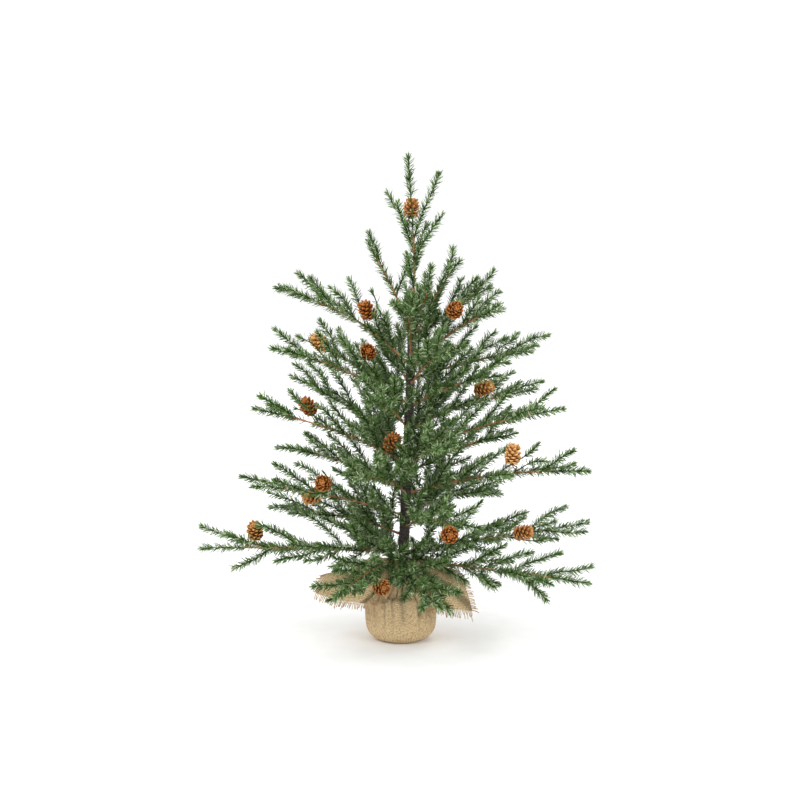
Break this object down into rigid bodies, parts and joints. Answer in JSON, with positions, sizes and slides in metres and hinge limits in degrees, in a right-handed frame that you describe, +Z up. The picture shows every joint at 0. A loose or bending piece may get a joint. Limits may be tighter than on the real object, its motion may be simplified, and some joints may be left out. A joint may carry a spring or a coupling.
{
  "type": "artificial tabletop tree",
  "caption": "Small artificial pine tree: bendable needle branches and pine cones on a taped trunk, in a weighted base wrapped in burlap.",
  "frame": {"origin": "centre of the base's resting face, on the surface that the tree stands on", "axes": "+Z up along the tree's height, -Y towards its front, +X to its right as seen from the front"},
  "size_m": [0.4887, 0.3359, 0.6081],
  "materials": {
    "cement": "matte",
    "cup_plastic": "matte",
    "burlap": "matte",
    "twine": "matte",
    "steel_rod": "satin",
    "bark_tape": "matte",
    "needles": "satin",
    "cone_scales": "matte"
  },
  "bodies": {
    "root": {"base_weight": "cement", "base_cup": "cup_plastic", "burlap_wrap": "burlap", "burlap_corners": "burlap", "neck_tie": "twine", "trunk_rod": "steel_rod", "trunk_wrap": "bark_tape"},
    "top_leader_body": {"top_leader": "needles", "cone_01": "cone_scales"},
    "right_1": {"branch_right_1": "needles"},
    "right_2": {"branch_right_2": "needles", "cone_02": "cone_scales"},
    "right_3": {"branch_right_3": "needles"},
    "right_4": {"branch_right_4": "needles"},
    "right_5": {"branch_right_5": "needles", "cone_06": "cone_scales"},
    "right_6": {"branch_right_6": "needles"},
    "right_7": {"branch_right_7": "needles"},
    "right_8": {"branch_right_8": "needles", "cone_09": "cone_scales"},
    "right_9": {"branch_right_9": "needles"},
    "right_10": {"branch_right_10": "needles", "cone_14": "cone_scales"},
    "right_11": {"branch_right_11": "needles"},
    "left_1": {"branch_left_1": "needles", "cone_03": "cone_scales"},
    "left_2": {"branch_left_2": "needles", "cone_04": "cone_scales", "cone_05": "cone_scales"},
    "left_3": {"branch_left_3": "needles"},
    "left_4": {"branch_left_4": "needles"},
    "left_5": {"branch_left_5": "needles", "cone_07": "cone_scales", "cone_08": "cone_scales"},
    "left_6": {"branch_left_6": "needles"},
    "left_7": {"branch_left_7": "needles", "cone_10": "cone_scales", "cone_11": "cone_scales"},
    "left_8": {"branch_left_8": "needles"},
    "left_9": {"branch_left_9": "needles", "cone_12": "cone_scales"},
    "front_1": {"branch_front_1": "needles"},
    "front_2": {"branch_front_2": "needles"},
    "front_3": {"branch_front_3": "needles"},
    "front_4": {"branch_front_4": "needles"},
    "front_5": {"branch_front_5": "needles"},
    "front_6": {"branch_front_6": "needles", "cone_13": "cone_scales"},
    "front_7": {"branch_front_7": "needles", "cone_15": "cone_scales"},
    "front_8": {"branch_front_8": "needles"},
    "back_1": {"branch_back_1": "needles"},
    "back_2": {"branch_back_2": "needles"},
    "back_3": {"branch_back_3": "needles"},
    "back_4": {"branch_back_4": "needles"},
    "back_5": {"branch_back_5": "needles"},
    "back_6": {"branch_back_6": "needles"},
    "crown_1": {"branch_crown_1": "needles"},
    "crown_2": {"branch_crown_2": "needles"},
    "crown_3": {"branch_crown_3": "needles"}
  },
  "joints": [
    {"name": "top_leader_bend", "type": "hinge", "parent": "root", "child": "top_leader_body", "pos_m": [0.01445, 0, 0.407], "axis": [0, 1, 0], "range_deg": [-3, 6]},
    {"name": "right_1_bend", "type": "hinge", "parent": "root", "child": "right_1", "pos_m": [0.02094, 0.00239, 0.38], "axis": [0.309, -0.9511, 0], "range_deg": [-20, 13]},
    {"name": "right_2_bend", "type": "hinge", "parent": "root", "child": "right_2", "pos_m": [0.01989, -0.00297, 0.352], "axis": [-0.3746, -0.9272, 0], "range_deg": [-20, 11]},
    {"name": "right_3_bend", "type": "hinge", "parent": "root", "child": "right_3", "pos_m": [0.01922, 0.00327, 0.334], "axis": [0.4067, -0.9135, 0], "range_deg": [-14, 19]},
    {"name": "right_4_bend", "type": "hinge", "parent": "root", "child": "right_4", "pos_m": [0.01844, -0.00282, 0.302], "axis": [-0.342, -0.9397, 0], "range_deg": [-20, 17]},
    {"name": "right_5_bend", "type": "hinge", "parent": "root", "child": "right_5", "pos_m": [0.01741, 0.00315, 0.272], "axis": [0.3746, -0.9272, 0], "range_deg": [-8, 7]},
    {"name": "right_6_bend", "type": "hinge", "parent": "root", "child": "right_6", "pos_m": [0.01661, -0.00321, 0.246], "axis": [-0.3746, -0.9272, 0], "range_deg": [-10, 17]},
    {"name": "right_7_bend", "type": "hinge", "parent": "root", "child": "right_7", "pos_m": [0.01556, 0.00357, 0.216], "axis": [0.4067, -0.9135, 0], "range_deg": [-20, 14]},
    {"name": "right_8_bend", "type": "hinge", "parent": "root", "child": "right_8", "pos_m": [0.01499, -0.00305, 0.19], "axis": [-0.342, -0.9397, 0], "range_deg": [-20, 9]},
    {"name": "right_9_bend", "type": "hinge", "parent": "root", "child": "right_9", "pos_m": [0.01401, 0.00341, 0.162], "axis": [0.3746, -0.9272, 0], "range_deg": [-6, 12]},
    {"name": "right_10_bend", "type": "hinge", "parent": "root", "child": "right_10", "pos_m": [0.01269, 0.00291, 0.112], "axis": [0.309, -0.9511, 0], "range_deg": [-20, 12]},
    {"name": "right_11_bend", "type": "hinge", "parent": "root", "child": "right_11", "pos_m": [0.01195, -0.00415, 0.104], "axis": [-0.4384, -0.8988, 0], "range_deg": [-10, 25]},
    {"name": "left_1_bend", "type": "hinge", "parent": "root", "child": "left_1", "pos_m": [0.00526, 0.0027, 0.356], "axis": [0.342, 0.9397, 0], "range_deg": [-13, 19]},
    {"name": "left_2_bend", "type": "hinge", "parent": "root", "child": "left_2", "pos_m": [0.00314, -0.00281, 0.306], "axis": [-0.342, 0.9397, 0], "range_deg": [-20, 16]},
    {"name": "left_3_bend", "type": "hinge", "parent": "root", "child": "left_3", "pos_m": [0.00314, 0.00362, 0.298], "axis": [0.4384, 0.8988, 0], "range_deg": [-7, 8]},
    {"name": "left_4_bend", "type": "hinge", "parent": "root", "child": "left_4", "pos_m": [0.00067, 0.00293, 0.248], "axis": [0.342, 0.9397, 0], "range_deg": [-20, 6]},
    {"name": "left_5_bend", "type": "hinge", "parent": "root", "child": "left_5", "pos_m": [-0.00009, -0.00297, 0.23], "axis": [-0.342, 0.9397, 0], "range_deg": [-11, 19]},
    {"name": "left_6_bend", "type": "hinge", "parent": "root", "child": "left_6", "pos_m": [-0.00151, 0.00334, 0.194], "axis": [0.3746, 0.9272, 0], "range_deg": [-20, 15]},
    {"name": "left_7_bend", "type": "hinge", "parent": "root", "child": "left_7", "pos_m": [-0.00274, -0.0037, 0.162], "axis": [-0.4067, 0.9135, 0], "range_deg": [-10, 9]},
    {"name": "left_8_bend", "type": "hinge", "parent": "root", "child": "left_8", "pos_m": [-0.00409, 0.00317, 0.136], "axis": [0.342, 0.9397, 0], "range_deg": [-8, 21]},
    {"name": "left_9_bend", "type": "hinge", "parent": "root", "child": "left_9", "pos_m": [-0.00545, -0.00163, 0.114], "axis": [-0.1736, 0.9848, 0], "range_deg": [-18, 8]},
    {"name": "front_1_bend", "type": "hinge", "parent": "root", "child": "front_1", "pos_m": [0.01278, -0.00783, 0.366], "axis": [-0.9994, 0.0349, 0], "range_deg": [-19, 17]},
    {"name": "front_2_bend", "type": "hinge", "parent": "root", "child": "front_2", "pos_m": [0.01475, -0.00747, 0.33], "axis": [-0.9272, -0.3746, 0], "range_deg": [-20, 10]},
    {"name": "front_3_bend", "type": "hinge", "parent": "root", "child": "front_3", "pos_m": [0.00653, -0.0078, 0.274], "axis": [-0.9272, 0.3746, 0], "range_deg": [-20, 16]},
    {"name": "front_4_bend", "type": "hinge", "parent": "root", "child": "front_4", "pos_m": [0.01111, -0.00808, 0.224], "axis": [-0.9272, -0.3746, 0], "range_deg": [-20, 2]},
    {"name": "front_5_bend", "type": "hinge", "parent": "root", "child": "front_5", "pos_m": [0.00333, -0.00827, 0.192], "axis": [-0.9272, 0.3746, 0], "range_deg": [-20, 5]},
    {"name": "front_6_bend", "type": "hinge", "parent": "root", "child": "front_6", "pos_m": [0.0088, -0.0084, 0.148], "axis": [-0.9135, -0.4067, 0], "range_deg": [-20, 25]},
    {"name": "front_7_bend", "type": "hinge", "parent": "root", "child": "front_7", "pos_m": [-0.00084, -0.00834, 0.108], "axis": [-0.8829, 0.4695, 0], "range_deg": [-20, 25]},
    {"name": "front_8_bend", "type": "hinge", "parent": "root", "child": "front_8", "pos_m": [0.00592, -0.00912, 0.1], "axis": [-0.9613, -0.2756, 0], "range_deg": [-20, 20]},
    {"name": "back_1_bend", "type": "hinge", "parent": "root", "child": "back_1", "pos_m": [0.01333, 0.00783, 0.366], "axis": [0.9994, -0.0349, 0], "range_deg": [-20, 25]},
    {"name": "back_2_bend", "type": "hinge", "parent": "root", "child": "back_2", "pos_m": [0.00882, 0.0076, 0.326], "axis": [0.9397, 0.342, 0], "range_deg": [-11, 17]},
    {"name": "back_3_bend", "type": "hinge", "parent": "root", "child": "back_3", "pos_m": [0.01269, 0.00775, 0.262], "axis": [0.9135, -0.4067, 0], "range_deg": [-20, 25]},
    {"name": "back_4_bend", "type": "hinge", "parent": "root", "child": "back_4", "pos_m": [0.00419, 0.00814, 0.214], "axis": [0.9272, 0.3746, 0], "range_deg": [-20, 22]},
    {"name": "back_5_bend", "type": "hinge", "parent": "root", "child": "back_5", "pos_m": [0.00857, 0.00851, 0.15], "axis": [0.9272, -0.3746, 0], "range_deg": [-20, 9]},
    {"name": "back_6_bend", "type": "hinge", "parent": "root", "child": "back_6", "pos_m": [0.00006, 0.00875, 0.108], "axis": [0.9272, 0.3746, 0], "range_deg": [-20, 15]},
    {"name": "crown_1_bend", "type": "hinge", "parent": "root", "child": "crown_1", "pos_m": [0.00668, -0.00027, 0.4], "axis": [-0.0349, 0.9994, 0], "range_deg": [-20, 0.5]},
    {"name": "crown_2_bend", "type": "hinge", "parent": "root", "child": "crown_2", "pos_m": [0.0217, -0.0008, 0.394], "axis": [-0.1045, -0.9945, 0], "range_deg": [-20, 7]},
    {"name": "crown_3_bend", "type": "hinge", "parent": "root", "child": "crown_3", "pos_m": [0.01748, -0.0068, 0.388], "axis": [-0.8829, -0.4695, 0], "range_deg": [-20, 14]}
  ]
}
